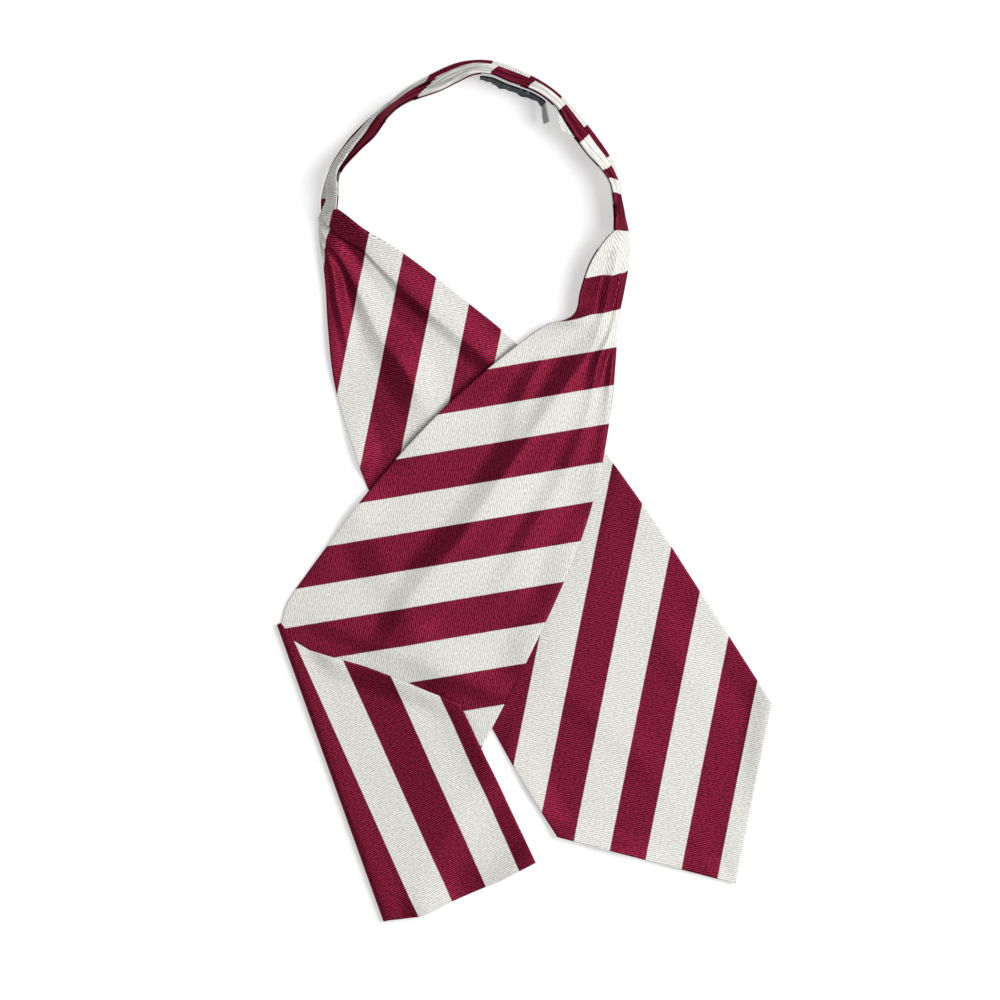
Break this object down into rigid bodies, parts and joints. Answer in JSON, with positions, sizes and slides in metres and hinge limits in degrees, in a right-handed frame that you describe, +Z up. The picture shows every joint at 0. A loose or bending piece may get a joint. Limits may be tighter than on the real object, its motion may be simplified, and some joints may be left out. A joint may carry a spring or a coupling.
{
  "type": "pleated neck cravat laid flat",
  "caption": "Striped silk day cravat laid flat: crossed pointed blades, one end folded over, and a pleated neckband standing in a loop.",
  "frame": {"origin": "middle of the footprint, on the surface that the cravat lies on", "axes": "+Z up from that surface, +Y towards the neck loop, +X towards the under blade's pointed end"},
  "size_m": [0.3028, 0.5264, 0.0267],
  "materials": {
    "striped_silk": "soft sheen",
    "label_cloth": "matt"
  },
  "bodies": {
    "root": {"under_blade_face": "striped_silk", "under_blade_back": "striped_silk", "over_blade_face": "striped_silk", "over_blade_back": "striped_silk", "neckband_turned": "striped_silk", "neckband_face": "striped_silk", "neckband_facing": "striped_silk", "label": "label_cloth"}
  },
  "joints": []
}
